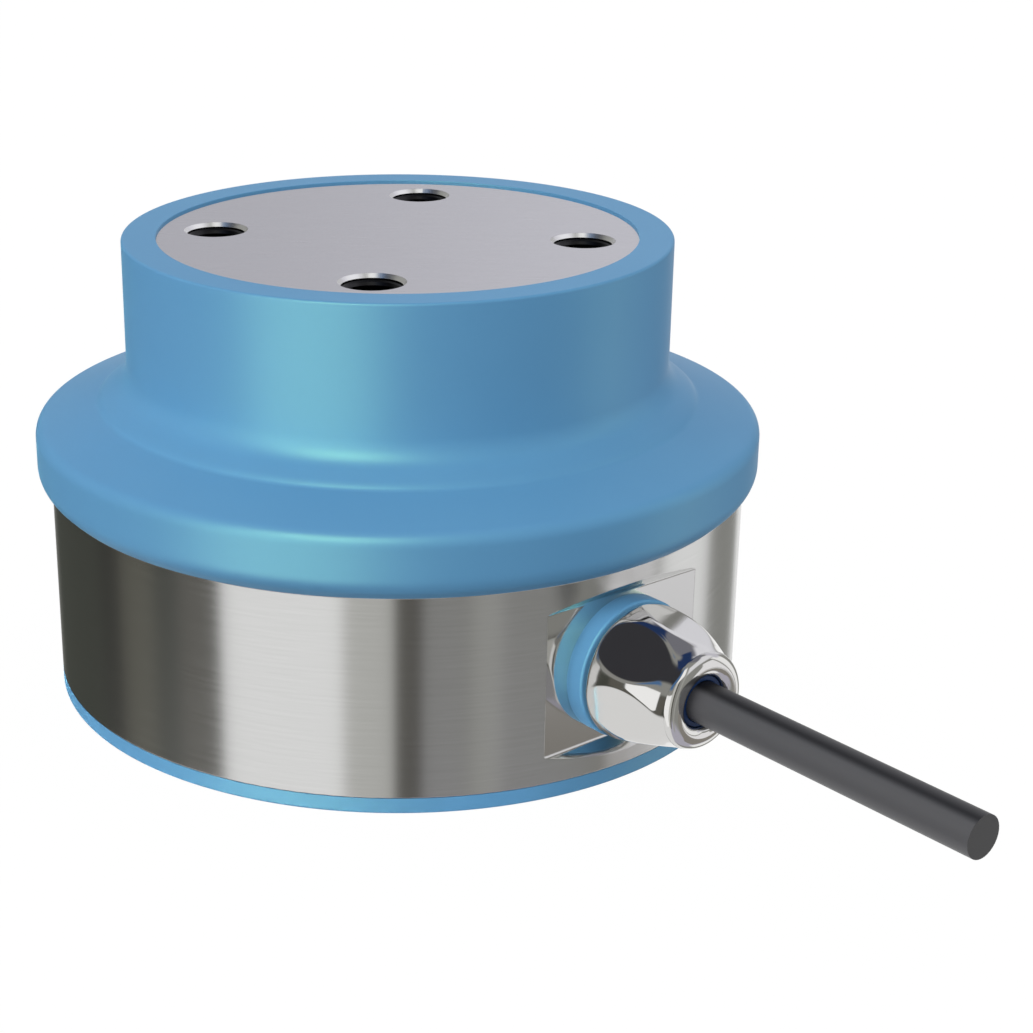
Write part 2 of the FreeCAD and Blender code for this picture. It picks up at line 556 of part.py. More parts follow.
def load_carrier():
    """Foot on the beam's free end, arm back over the beam, round post and flange."""
    half = CARRIER_WIDTH / 2
    arm_top = BEAM_TOP + CARRIER_FOOT_HEIGHT
    foot_end = BEAM_SEAT_EDGE + CARRIER_FOOT_LENGTH
    flange_bottom = PLATE_BOTTOM - CARRIER_FLANGE_THICKNESS
    foot = block(-half, half, BEAM_SEAT_EDGE, foot_end, BEAM_TOP, arm_top)
    arm = block(-half, half, -CARRIER_TAIL, BEAM_SEAT_EDGE, BEAM_TOP + CARRIER_RELIEF, arm_top)
    post = turned(
        (0, arm_top), (CARRIER_FLANGE_RADIUS, arm_top), (CARRIER_FLANGE_RADIUS, PLATE_BOTTOM), (0, PLATE_BOTTOM))
    waist = turned(
        (CARRIER_POST_RADIUS, arm_top), (CARRIER_FLANGE_RADIUS + WALL, arm_top),
        (CARRIER_FLANGE_RADIUS + WALL, flange_bottom), (CARRIER_POST_RADIUS, flange_bottom, CARRIER_POST_FILLET))
    shape = foot.fuse([arm, post.cut(waist)])
    cuts = [upright(CARRIER_SCREW_RADIUS, BEAM_TOP, arm_top, x, y) for x, y in carrier_screw_places()]
    cuts += [upright(CARRIER_SCREW_RADIUS + HOLE_CLEARANCE, flange_bottom, PLATE_BOTTOM, x, y)
             for x, y in plate_screw_places()]
    return shape.cut(cuts).removeSplitter()


def carrier_screws():
    head_bottom = BEAM_BOTTOM + CARRIER_SCREW_SUNK - CARRIER_SCREW_HEAD_HEIGHT
    return [cap_screw_up(x, y, head_bottom, CARRIER_SCREW_HEAD_RADIUS, CARRIER_SCREW_HEAD_HEIGHT,
                         CARRIER_SCREW_RADIUS, BEAM_TOP + CARRIER_FOOT_HEIGHT)
            for x, y in carrier_screw_places()]


def plate_screws():
    head_bottom = PLATE_BOTTOM - CARRIER_FLANGE_THICKNESS - CARRIER_SCREW_HEAD_HEIGHT
    return [cap_screw_up(x, y, head_bottom, CARRIER_SCREW_HEAD_RADIUS, CARRIER_SCREW_HEAD_HEIGHT,
                         CARRIER_SCREW_RADIUS, PLATE_BOTTOM + PLATE_SCREW_GRIP)
            for x, y in plate_screw_places()]


def stop_screw():
    """Set screw in the floor that catches the beam's free end before it is overloaded."""
    y = stop_screw_y()
    screw = upright(STOP_SCREW_RADIUS, STOP_SUNK, BEAM_BOTTOM - STOP_GAP, 0, y)
    return screw.cut(hex_socket(STOP_SOCKET_RADIUS, STOP_SUNK, STOP_SUNK + STOP_SOCKET_DEPTH, 0, y))


def gland_gasket():
    return gland_turned(
        (FLAT_DISTANCE, GLAND_THREAD_RADIUS), (FLAT_DISTANCE, GLAND_GASKET_RADIUS),
        (CAP_BACK, GLAND_GASKET_RADIUS, EDGE_BREAK), (CAP_BACK, GLAND_THREAD_RADIUS))


def gland_body():
    bore = CABLE_RADIUS + GLAND_BORE_CLEARANCE
    return gland_turned(
        (GLAND_INNER_END, bore), (GLAND_INNER_END, GLAND_THREAD_RADIUS, EDGE_BREAK),
        (CAP_BACK, GLAND_THREAD_RADIUS), (CAP_BACK, GLAND_COLLAR_RADIUS), (COLLAR_FRONT, GLAND_COLLAR_RADIUS),
        (COLLAR_FRONT, GLAND_STUB_RADIUS), (STUB_FRONT, GLAND_STUB_RADIUS), (STUB_FRONT, SEAL_RADIUS),
        (SEAL_BACK, SEAL_RADIUS), (SEAL_BACK, bore))


def cap_seal():
    """Flat ring inside the cap, on the body's collar."""
    front = COLLAR_FRONT + CAP_SEAL_THICKNESS
    return gland_turned(
        (COLLAR_FRONT, GLAND_STUB_RADIUS), (COLLAR_FRONT, GLAND_COLLAR_RADIUS),
        (front, GLAND_COLLAR_RADIUS), (front, GLAND_STUB_RADIUS))


def gland_seal():
    """Silicone sleeve squeezed round the cable, its nose showing in the cap's mouth."""
    nose = CABLE_HOLE_RADIUS - SEAL_NOSE_CLEARANCE
    return gland_turned(
        (SEAL_BACK, CABLE_RADIUS), (SEAL_BACK, SEAL_RADIUS), (SEAL_FRONT, SEAL_RADIUS), (SEAL_FRONT, nose),
        (SEAL_FRONT + SEAL_NOSE_LENGTH, nose), (SEAL_FRONT + SEAL_NOSE_LENGTH, CABLE_RADIUS))


def spanner_flat(index):
    """Wedge of metal milled off the dome, leaning in towards the front."""
    size = 2 * CAP_LENGTH
    cutter = block(-size / 4, size, -size / 2, size / 2, 0, size / 2)
    cutter.rotate(vec(0, 0, 0), vec(0, 1, 0), FLAT_SLOPE)
    cutter.translate(vec(CAP_BACK, 0, GLAND_HEIGHT + FLAT_RADIUS_AT_BACK))
    turn = FLAT_TURN - 90 + index * 360 / SPANNER_FLATS
    cutter.rotate(vec(0, 0, GLAND_HEIGHT), vec(1, 0, 0), turn)
    return cutter


def gland_cap():
    """Domed cap with leaning spanner flats, a soft waist and a rounded mouth."""
    seal_seat = COLLAR_FRONT + CAP_SEAL_THICKNESS
    dome = gland_turned(
        (CAP_BACK, CAP_RADIUS, CAP_BACK_ROUND), (CAP_BACK + CAP_DOME_START, CAP_RADIUS, CAP_DOME_ROUND),
        (CAP_BACK + CAP_WAIST_AT, CAP_WAIST_RADIUS, CAP_WAIST_ROUND),
        (CAP_FRONT, CAP_RIM_RADIUS, CAP_RIM_ROUND), (CAP_FRONT, CABLE_HOLE_RADIUS, CAP_MOUTH_ROUND),
        (SEAL_FRONT, CABLE_HOLE_RADIUS), (SEAL_FRONT, GLAND_STUB_RADIUS), (seal_seat, GLAND_STUB_RADIUS),
        (seal_seat, GLAND_COLLAR_RADIUS), (CAP_BACK, GLAND_COLLAR_RADIUS))
    return dome.cut([spanner_flat(index) for index in range(SPANNER_FLATS)])


def cable():
    """Free stub of the cable, cut square, and the jacket's length inside the gland."""
    return Part.makeCylinder(CABLE_RADIUS, CABLE_OUTER_END - CABLE_INNER_END,
                             vec(CABLE_INNER_END, 0, GLAND_HEIGHT), vec(1, 0, 0))


def cable_cores():
    """Insulated cores that fan out from the jacket to the terminal block."""
    cores = []
    entry_end = TERMINAL_FRONT - TERMINAL_ENTRY_DEPTH
    run = CABLE_INNER_END - TERMINAL_FRONT
    for pole, offset in enumerate(pole_offsets()):
        side = -1 if offset < 0 else 1
        start_y = side * CORE_SPACING / 2
        start_z = GLAND_HEIGHT + (CORE_SPACING / 2 if pole % 2 else -CORE_SPACING / 2)
        points = [vec(CABLE_INNER_END, start_y, start_z), vec(CABLE_INNER_END - run / 4, start_y, start_z),
                  vec(TERMINAL_FRONT + run / 4, offset, GLAND_HEIGHT), vec(entry_end, offset, GLAND_HEIGHT)]
        cores.append(rod(points, CORE_RADIUS, CORE_BEND))
    return cores


def strain_gauges():
    """Four foil gauges, above and below the two thin places of the beam."""
    gauges = {}
    for end, y in zip(("fixed_end", "free_end"), GAUGE_ROWS):
        for face, low in (("top", BEAM_TOP), ("bottom", BEAM_BOTTOM - GAUGE_THICKNESS)):
            gauges[f"strain_gauge_{face}_{end}"] = block(
                -GAUGE_WIDTH / 2, GAUGE_WIDTH / 2, y - GAUGE_LENGTH / 2, y + GAUGE_LENGTH / 2,
                low, low + GAUGE_THICKNESS)
    return gauges


def gauge_leads():
    """Two leads from each gauge: the upper ones bend down to the board, the lower ones meet its edge."""
    leads = []
    start = GAUGE_WIDTH / 2 - LEAD_ON_GAUGE
    upper = BEAM_TOP + GAUGE_THICKNESS + LEAD_RADIUS
    lower = BEAM_BOTTOM - GAUGE_THICKNESS - LEAD_RADIUS
    for row in GAUGE_ROWS:
        for y in (row - LEAD_SPACING / 2, row + LEAD_SPACING / 2):
            down_at = BOARD_START + LEAD_ON_BOARD
            leads.append(rod([vec(start, y, upper), vec(down_at, y, upper), vec(down_at, y, BOARD_TOP)],
                             LEAD_RADIUS, LEAD_BEND))
            leads.append(Part.makeCylinder(LEAD_RADIUS, BOARD_START - start, vec(start, y, lower), vec(1, 0, 0)))
    return leads


def circuit_board():
    board = block(BOARD_START, BOARD_END, -BOARD_WIDTH / 2, BOARD_WIDTH / 2, BOARD_BOTTOM, BOARD_TOP)
    board = board.common(upright(CAVITY_RADIUS - BOARD_CORNERS_TO_WALL, BOARD_BOTTOM, BOARD_TOP))
    return board.cut([upright(BOARD_SCREW_RADIUS, BOARD_BOTTOM, BOARD_TOP, x, y)
                      for x, y in board_screw_places()])


def board_spacers():
    return [upright(SPACER_RADIUS, FLOOR_THICKNESS, BOARD_BOTTOM, x, y)
            .cut(upright(BOARD_SCREW_RADIUS, FLOOR_THICKNESS, BOARD_BOTTOM, x, y))
            for x, y in board_screw_places()]


def board_screws():
    screws = []
    for x, y in board_screw_places():
        shank = upright(BOARD_SCREW_RADIUS, FLOOR_THICKNESS - BOARD_SCREW_GRIP, BOARD_TOP, x, y)
        head = upright(BOARD_SCREW_HEAD_RADIUS, BOARD_TOP, BOARD_TOP + BOARD_SCREW_HEAD_HEIGHT, x, y)
        screws.append(shank.fuse(head))
    return screws


def terminal_block():
    top = BOARD_TOP + TERMINAL_HEIGHT
    back = TERMINAL_FRONT - TERMINAL_LENGTH
    shape = block(back, TERMINAL_FRONT, -TERMINAL_HALF_WIDTH, TERMINAL_HALF_WIDTH, BOARD_TOP, top)
    cuts = []
    for y in pole_offsets():
        cuts.append(Part.makeCylinder(TERMINAL_ENTRY_RADIUS, TERMINAL_ENTRY_DEPTH,
                                      vec(TERMINAL_FRONT - TERMINAL_ENTRY_DEPTH, y, GLAND_HEIGHT), vec(1, 0, 0)))
        cuts.append(upright(TERMINAL_SCREW_RADIUS, top - TERMINAL_SCREW_SUNK - TERMINAL_SCREW_HEIGHT, top,
                            back + TERMINAL_LENGTH / 2, y))
    return shape.cut(cuts)


def terminal_screws():
    top = BOARD_TOP + TERMINAL_HEIGHT - TERMINAL_SCREW_SUNK
    at = TERMINAL_FRONT - TERMINAL_LENGTH / 2
    return [upright(TERMINAL_SCREW_RADIUS, top - TERMINAL_SCREW_HEIGHT, top, at, y) for y in pole_offsets()]


def chip(y):
    half = CHIP_SIZE / 2
    body = block(CHIP_MIDDLE - half, CHIP_MIDDLE + half, y - half, y + half, BOARD_TOP, BOARD_TOP + CHIP_HEIGHT)
    return body.makeChamfer(EDGE_BREAK, [edge for edge in body.Edges if abs(edge.tangentAt(0).z) > 0.9])


def resistors():
    """Trimming resistors of the bridge, two between the terminal block and each chip."""
    chips = []
    for y in (-RESISTOR_OFFSET, RESISTOR_OFFSET):
        for x in (CHIP_MIDDLE - RESISTOR_PITCH / 2, CHIP_MIDDLE + RESISTOR_PITCH / 2):
            chips.append(block(x - RESISTOR_WIDTH / 2, x + RESISTOR_WIDTH / 2, y - RESISTOR_LENGTH / 2,
                               y + RESISTOR_LENGTH / 2, BOARD_TOP, BOARD_TOP + RESISTOR_HEIGHT))
    return chips


def write(node, shape):
    """Turn a piece to its place about the load axis and save it."""
    solid = Part.makeCompound(shape) if isinstance(shape, list) else shape.copy()
    solid.rotate(vec(0, 0, 0), vec(0, 0, 1), GLAND_AZIMUTH)
    solid.exportStep(f"parts/{node}.step")


os.makedirs("parts", exist_ok=True)
pieces = {
    "housing": housing(),
    "foot_gasket": foot_gasket(),
    "boot": boot(),
    "load_plate": load_plate(),
    "cover_ring": cover_ring(),
    "cover_screws": cover_screws(),
    "beam": beam(),
    "beam_screws": beam_screws(),
    "beam_screw_seals": beam_screw_seals(),
    "load_carrier": load_carrier(),
    "carrier_screws": carrier_screws(),
    "plate_screws": plate_screws(),
    "stop_screw": stop_screw(),
    "gland_gasket": gland_gasket(),
    "gland_body": gland_body(),
    "cap_seal": cap_seal(),
    "gland_seal": gland_seal(),
    "gland_cap": gland_cap(),
    "cable": cable(),
    "cable_cores": cable_cores(),
    "gauge_leads": gauge_leads(),
    "circuit_board": circuit_board(),
    "board_spacers": board_spacers(),
    "board_screws": board_screws(),
    "terminal_block": terminal_block(),
    "terminal_screws": terminal_screws(),
    "amplifier_chip": chip(-CHIP_OFFSET),
    "converter_chip": chip(CHIP_OFFSET),
    "trim_resistors": resistors(),
}
pieces.update(strain_gauges())
for node, shape in pieces.items():
    write(node, shape)
print(f"{len(pieces)} pieces, {PLATE_TOP + BOOT_RIM_PROUD:.1f} mm tall")
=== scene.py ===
import math

import bmesh
import bpy
from mathutils import Matrix, Vector


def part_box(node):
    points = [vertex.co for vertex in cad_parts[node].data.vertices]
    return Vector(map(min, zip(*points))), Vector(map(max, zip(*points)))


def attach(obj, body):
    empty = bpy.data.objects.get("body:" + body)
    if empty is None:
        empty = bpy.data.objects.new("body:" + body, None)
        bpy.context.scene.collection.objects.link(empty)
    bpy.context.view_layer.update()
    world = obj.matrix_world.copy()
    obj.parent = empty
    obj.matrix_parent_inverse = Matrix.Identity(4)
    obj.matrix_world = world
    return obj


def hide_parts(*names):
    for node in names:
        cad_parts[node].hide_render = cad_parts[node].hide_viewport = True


# Strain gauge load cell. A turned stainless body stands on a blue silicone ring and carries a
# drilled load plate in a blue silicone boot. A polished gland holds the cable at its side.
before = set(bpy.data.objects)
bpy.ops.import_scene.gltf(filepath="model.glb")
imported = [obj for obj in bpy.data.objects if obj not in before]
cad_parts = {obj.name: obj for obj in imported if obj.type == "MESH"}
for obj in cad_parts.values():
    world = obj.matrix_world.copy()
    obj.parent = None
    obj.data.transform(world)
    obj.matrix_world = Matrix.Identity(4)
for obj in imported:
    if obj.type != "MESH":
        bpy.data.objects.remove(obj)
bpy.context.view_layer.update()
MM = 0.001

# Camera
# A little above the cell and square to it. The lens is shifted so that the load axis stands left of
# the middle and the whole cable is in the picture.
CAMERA_AT = Vector((0, -267.06, 122.02)) * MM
LOOKS_DOWN = math.radians(20.918)
SENSOR_MM = 36
LENS_MM = 74.90
LENS_SHIFT = (0.1151, 0.0005)
camera = bpy.data.objects.new("camera", bpy.data.cameras.new("camera"))
bpy.context.scene.collection.objects.link(camera)
camera.location = CAMERA_AT
camera.rotation_euler = (math.radians(90) - LOOKS_DOWN, 0, 0)
camera.data.sensor_width = SENSOR_MM
camera.data.lens = LENS_MM
camera.data.shift_x, camera.data.shift_y = LENS_SHIFT
bpy.context.scene.camera = camera
bpy.context.scene.view_settings.view_transform = "Standard"

# Cable
# A 5 mm signal cable with an extruded PVC jacket, cut square. It is clamped in the gland and runs
# straight out of it, level with the table.
UP = Vector((0, 0, 1))
GLAND_TURN = math.radians(-52.3)
OUTWARD = Vector((math.cos(GLAND_TURN), math.sin(GLAND_TURN), 0))
cable_low, cable_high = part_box("cable")
GLAND_LEVEL = (cable_low.z + cable_high.z) / 2
CABLE_RADIUS = (cable_high.z - cable_low.z) / 2
# along the cable from the load axis, in mm: its clamped end, its middle and its cut end
CABLE_ROUTE = (34.0, 65.0, 96.5)
CUT_SKIN = 0.02
# turn up from the cable's side to the middle of its painted top shade
TOP_SHADE_RISE = math.radians(110)
# where the painted top shade begins and where it is full, as shares of the cable's radius
TOP_SHADE_EDGES = (0.45, 0.80)
JACKET_GRAIN = 0.35


def colour(hex_code):
    """An sRGB hex value as linear red, green, blue and alpha."""
    channels = [int(hex_code[place:place + 2], 16) / 255 for place in (1, 3, 5)]
    linear = [c / 12.92 if c <= 0.04045 else ((c + 0.055) / 1.055) ** 2.4 for c in channels]
    return (*linear, 1)


def add_node(tree, kind, settings, inputs):
    """Add a shader node with its settings and links. An input is named or numbered, and gets a
    value, a socket, or the first output in use of another node."""
    made = tree.nodes.new("ShaderNode" + kind)
    for name, value in settings.items():
        setattr(made, name, value)
    for name, value in inputs.items():
        if isinstance(name, int):
            socket = made.inputs[name]
        else:
            socket = next(s for s in made.inputs if s.enabled and s.name == name)
        if isinstance(value, bpy.types.Node):
            value = next(s for s in value.outputs if s.enabled)
        if isinstance(value, bpy.types.NodeSocket):
            tree.links.new(value, socket)
        else:
            socket.default_value = value
    return made


def start_material(name):
    """A new material with its empty tree, and the place on the piece in metres."""
    material = bpy.data.materials.new(name)
    material.use_nodes = True
    tree = material.node_tree
    tree.nodes.clear()
    return material, tree, add_node(tree, "TexCoord", {}, {}).outputs["Object"]


def pvc_jacket():
    """Extruded PVC, satin and faintly uneven. Its upper side is painted near-black, a painted shade
    along the top, and its cut end is evenly dark. The unevenness is drawn coarser than it is, so
    that it shows."""
    material, tree, place = start_material("satin_pvc_jacket")
    top_shade = UP * math.sin(TOP_SHADE_RISE) + OUTWARD.cross(UP) * math.cos(TOP_SHADE_RISE)
    begins, full = (GLAND_LEVEL * top_shade.z + share * CABLE_RADIUS for share in TOP_SHADE_EDGES)
    across = add_node(tree, "VectorMath", {"operation": "DOT_PRODUCT"}, {0: place, 1: top_shade})
    in_painted_top_shade = add_node(tree, "MapRange", {"interpolation_type": "SMOOTHSTEP"}, {
        "Value": across, "From Min": begins, "From Max": full})
    along = add_node(tree, "VectorMath", {"operation": "DOT_PRODUCT"}, {0: place, 1: OUTWARD})
    cut_end = add_node(tree, "Math", {"operation": "GREATER_THAN"}, {
        0: along, 1: (CABLE_ROUTE[-1] - CUT_SKIN) * MM})
    # painted shade: the cable's upper side darkens to near-black
    side = add_node(tree, "Mix", {"data_type": "RGBA"}, {
        "Factor": in_painted_top_shade, "A": colour("#565659"), "B": colour("#17171B")})
    base = add_node(tree, "Mix", {"data_type": "RGBA"}, {
        "Factor": cut_end, "A": side, "B": colour("#333335")})
    grain = add_node(tree, "TexNoise", {}, {
        "Vector": place, "Scale": 1 / (JACKET_GRAIN * MM), "Detail": 3})
    bump = add_node(tree, "Bump", {}, {
        "Height": grain, "Strength": 0.08, "Distance": 0.02 * MM})
    shader = add_node(tree, "BsdfPrincipled", {}, {
        "Base Color": base, "Roughness": 0.42, "IOR": 1.53, "Normal": bump})
    add_node(tree, "OutputMaterial", {}, {"Surface": shader})
    return material


curve = bpy.data.curves.new("cable", "CURVE")
curve.dimensions = "3D"
curve.bevel_depth = CABLE_RADIUS
curve.bevel_resolution = 14
curve.use_fill_caps = True
spline = curve.splines.new("NURBS")
spline.points.add(len(CABLE_ROUTE) - 1)
for point, distance in zip(spline.points, CABLE_ROUTE):
    point.co = (*(OUTWARD * distance * MM + Vector((0, 0, GLAND_LEVEL))), 1)
spline.order_u = 3
spline.use_endpoint_u = True
spline.resolution_u = 8
cable = bpy.data.objects.new("signal_cable", curve)
bpy.context.scene.collection.objects.link(cable)
curve.materials.append(pvc_jacket())
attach(cable, "root")
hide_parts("cable")

# Silicone boot
# Moulded blue silicone in one piece: a rim round the load plate, a thin neck that flexes, and a
# flange and skirt that grip the body. Its inner lip is clamped by a steel ring.
boot_low, boot_high = (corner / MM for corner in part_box("boot"))
plate_low, plate_high = (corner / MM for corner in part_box("load_plate"))
RIM_TOP = boot_high.z
SKIRT_BOTTOM = boot_low.z
SKIRT_TURN = SKIRT_BOTTOM + 1.6
FLANGE_RADIUS = boot_high.x
FLANGE_TOP = 35.2
PLATE_RADIUS = plate_high.x
NECK_RADIUS = 34.85
NECK_FOOT = 40.75
SHOULDER_RADIUS = 38.2
SHOULDER = 38.4
SHOULDER_END_RADIUS = 38.7
SHOULDER_END = 37.8
BODY_RADIUS = 45.0
BODY_REBATE_RADIUS = 43.6
COVER_TOP = 34.0
LIP_RADIUS = 40.0
INNER_SHOULDER_RADIUS = 35.9
INNER_SHOULDER = 36.2
INNER_NECK_RADIUS = 32.4
INNER_NECK_FOOT = 40.5
TONE_PATCH = 14
MOULD_GRAIN = 0.25
ARC_STEP = math.radians(6)
RUN_INSET = 0.2
SHARP_OVER = math.radians(30)


def rounded_outline(corners, finest=0.9):
    """Points through (a, b) or (a, b, rounding) corners in mm. Each arc is tangent to both its
    sides, and each straight run has a point close to both ends, so that it is shaded flat."""
    bends = []
    for index, corner in enumerate(corners):
        here = Vector(corner[:2])
        if len(corner) == 2:
            bends.append([here])
            continue
        rounding = corner[2]
        back = (Vector(corners[index - 1][:2]) - here).normalized()
        onward = (Vector(corners[(index + 1) % len(corners)][:2]) - here).normalized()
        half = back.angle(onward) / 2
        centre = here + (back + onward).normalized() * rounding / math.sin(half)
        first = here + back * rounding / math.tan(half) - centre
        turn = math.copysign(math.pi - 2 * half, back.y * onward.x - back.x * onward.y)
        steps = max(4, math.ceil(abs(turn) / ARC_STEP), math.ceil(abs(turn) * rounding / finest))
        bends.append([centre + Matrix.Rotation(turn * step / steps, 2) @ first
                      for step in range(steps + 1)])
    points = []
    for index, bend in enumerate(bends):
        points += bend
        run = bends[(index + 1) % len(bends)][0] - bend[-1]
        inset = run.normalized() * min(RUN_INSET, run.length / 4)
        steps = max(1, math.ceil((run.length - 2 * inset.length) / finest))
        points += [bend[-1] + inset + (run - 2 * inset) * step / steps
                   for step in range(steps + 1)]
    return points


def add_piece(name, builder, material):
    """Object from a mesh being built: smooth, with its sharper edges kept sharp."""
    bmesh.ops.recalc_face_normals(builder, faces=builder.faces)
    mesh = bpy.data.meshes.new(name)
    builder.to_mesh(mesh)
    builder.free()
    mesh.polygons.foreach_set("use_smooth", [True] * len(mesh.polygons))
    mesh.set_sharp_from_angle(angle=SHARP_OVER)
    mesh.materials.append(material)
    piece = bpy.data.objects.new(name, mesh)
    bpy.context.scene.collection.objects.link(piece)
    return piece


def turned(name, points, material, segments=288, place=Matrix.Identity(4), milled=None):
    """Closed piece turned from (radius, height) points in mm. milled gives the radius that is left
    at a spot. place carries the piece from the load axis to its own."""
    builder = bmesh.new()
    rings = []
    for radius, height in points:
        ring = []
        for step in range(segments):
            angle = 2 * math.pi * step / segments
            kept = milled(radius, height, angle) if milled else radius
            spot = Vector((kept * math.cos(angle), kept * math.sin(angle), height)) * MM
            ring.append(builder.verts.new(place @ spot))
        rings.append(ring)
    for ring, following in zip(rings, rings[1:] + rings[:1]):
        for turn in range(segments):
            ahead = (turn + 1) % segments
            builder.faces.new((ring[turn], following[turn], following[ahead], ring[ahead]))
    return add_piece(name, builder, material)


def blue_silicone():
    """Moulded silicone: matt, a little uneven in tone, with the faint grain of a blasted mould. The
    grain is drawn coarser than it is, so that it shows. It scatters most of silicone's mirror
    sheen, so the index stands below silicone's own 1.41, and what is left of it is greenish."""
    material, tree, place = start_material("moulded_blue_silicone")
    tone = add_node(tree, "TexNoise", {}, {
        "Vector": place, "Scale": 1 / (TONE_PATCH * MM), "Detail": 2})
    base = add_node(tree, "Mix", {"data_type": "RGBA"}, {
        "Factor": tone, "A": colour("#5B92BE"), "B": colour("#6097C2")})
    grain = add_node(tree, "TexNoise", {}, {
        "Vector": place, "Scale": 1 / (MOULD_GRAIN * MM), "Detail": 2})
    bump = add_node(tree, "Bump", {}, {
        "Height": grain, "Strength": 0.12, "Distance": 0.02 * MM})
    shader = add_node(tree, "BsdfPrincipled", {}, {
        "Base Color": base, "Roughness": 0.40, "IOR": 1.18,
        "Specular Tint": colour("#B2FFC6"), "Normal": bump})
    add_node(tree, "OutputMaterial", {}, {"Surface": shader})
    return material


silicone = blue_silicone()
boot = turned("silicone_boot", rounded_outline([
    (PLATE_RADIUS, RIM_TOP, 0.1), (NECK_RADIUS, RIM_TOP, 0.35), (NECK_RADIUS, NECK_FOOT, 3.6),
    (SHOULDER_RADIUS, SHOULDER, 3.2), (SHOULDER_END_RADIUS, SHOULDER_END, 1.2),
    (FLANGE_RADIUS, FLANGE_TOP, 1.8), (FLANGE_RADIUS, SKIRT_TURN, 3.0),
    (BODY_RADIUS, SKIRT_BOTTOM), (BODY_REBATE_RADIUS, SKIRT_BOTTOM),
    (BODY_REBATE_RADIUS, COVER_TOP), (LIP_RADIUS, COVER_TOP),
    (INNER_SHOULDER_RADIUS, INNER_SHOULDER, 2.5), (INNER_NECK_RADIUS, INNER_NECK_FOOT, 2.5),
    (INNER_NECK_RADIUS, plate_low.z), (PLATE_RADIUS, plate_low.z)]), silicone)
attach(boot, "root")
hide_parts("boot")

# Foot ring
# A flat ring of the same blue silicone under the body, snapped into a groove by a small bead. It
# seals the cell to whatever it stands on.
FOOT_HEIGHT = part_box("foot_gasket")[1].z / MM
SPIGOT_RADIUS = 41.0
BEAD_RADIUS = 40.4
BEAD_BOTTOM = 0.6
BEAD_TOP = 1.4
foot_ring = turned("foot_ring", rounded_outline([
    (SPIGOT_RADIUS, 0), (BODY_RADIUS, 0, 0.3), (BODY_RADIUS, FOOT_HEIGHT),
    (SPIGOT_RADIUS, FOOT_HEIGHT), (SPIGOT_RADIUS, BEAD_TOP), (BEAD_RADIUS, BEAD_TOP),
    (BEAD_RADIUS, BEAD_BOTTOM), (SPIGOT_RADIUS, BEAD_BOTTOM)]), silicone)
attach(foot_ring, "root")
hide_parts("foot_gasket")

# Body
# One stainless cup, turned all over and finished with fine emery in the lathe. A pocket is milled
# for the gland and polished bright. Its edges are broken by hand.
POCKET_BEGINS_UNDER = BODY_RADIUS - 0.03
POCKET_BEGINS_OVER = FOOT_HEIGHT * 1.2
BROKEN_EDGE = 0.22
EDGE_SAMPLES = 6
MARK_LENGTH = 9
MARK_WIDTH = 0.3


def turned_stainless():
    """Stainless steel with turning marks round the load axis, which smear reflections upright. They
    are drawn coarser than they are, so that they show. The milled pocket is polished and mirrors
    what is near it."""
    material, tree, place = start_material("turned_stainless_body")
    from_axis = add_node(tree, "VectorMath", {"operation": "MULTIPLY"}, {0: place, 1: (1, 1, 0)})
    radius = add_node(tree, "VectorMath", {"operation": "LENGTH"}, {0: from_axis})
    height = add_node(tree, "SeparateXYZ", {}, {0: place}).outputs["Z"]
    sunk = add_node(tree, "Math", {"operation": "LESS_THAN"}, {
        0: radius, 1: POCKET_BEGINS_UNDER * MM})
    raised = add_node(tree, "Math", {"operation": "GREATER_THAN"}, {
        0: height, 1: POCKET_BEGINS_OVER * MM})
    in_pocket = add_node(tree, "Math", {"operation": "MULTIPLY"}, {0: sunk, 1: raised})
    marks_at = add_node(tree, "VectorMath", {"operation": "MULTIPLY"}, {
        0: place, 1: (1 / (MARK_LENGTH * MM), 1 / (MARK_LENGTH * MM), 1 / (MARK_WIDTH * MM))})
    marks = add_node(tree, "TexNoise", {}, {
        "Vector": marks_at, "Scale": 1, "Detail": 4, "Roughness": 0.6})
    turned_tone = add_node(tree, "Mix", {"data_type": "RGBA"}, {
        "Factor": marks, "A": colour("#CACAC9"), "B": colour("#D6D6D5")})
    base = add_node(tree, "Mix", {"data_type": "RGBA"}, {
        "Factor": in_pocket, "A": turned_tone, "B": colour("#D0D0CF")})
    rough = add_node(tree, "MapRange", {}, {"Value": marks, "To Min": 0.18, "To Max": 0.24})
    roughness = add_node(tree, "Mix", {}, {"Factor": in_pocket, "A": rough, "B": 0.07})
    turning = add_node(tree, "Tangent", {"direction_type": "RADIAL", "axis": "Z"}, {})
    edge = add_node(tree, "Bevel", {"samples": EDGE_SAMPLES}, {"Radius": BROKEN_EDGE * MM})
    depth = add_node(tree, "Mix", {}, {"Factor": in_pocket, "A": 0.10, "B": 0})
    bump = add_node(tree, "Bump", {}, {
        "Height": marks, "Strength": depth, "Distance": 0.01 * MM, "Normal": edge})
    shader = add_node(tree, "BsdfPrincipled", {}, {
        "Base Color": base, "Metallic": 1, "Roughness": roughness, "Anisotropic": 0.9,
        "Anisotropic Rotation": 0.25, "Tangent": turning, "Normal": bump})
    add_node(tree, "OutputMaterial", {}, {"Surface": shader})
    return material


def dress(node, material):
    """Give a carried-over piece its finish."""
    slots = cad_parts[node].data.materials
    slots.clear()
    slots.append(material)


body_steel = turned_stainless()
dress("housing", body_steel)

# Load plate
# A stainless disc, faced and then brushed in one direction, with four tapped M8 holes. The
# countersinks
# # are cut bright, and their near-white colour is also a painted highlight; the bores are painted
# # near-black, a painted shade inside the holes. The boot's bead snaps into a groove round its
# edge.
FACE_SKIN = 0.02
# depth in mm under the face where the bores' painted shade begins
BORE_SHADE_DEPTH = 0.5
THREAD_PITCH = 1.25
HAIR_LENGTH = 7
HAIR_WIDTH = 0.16


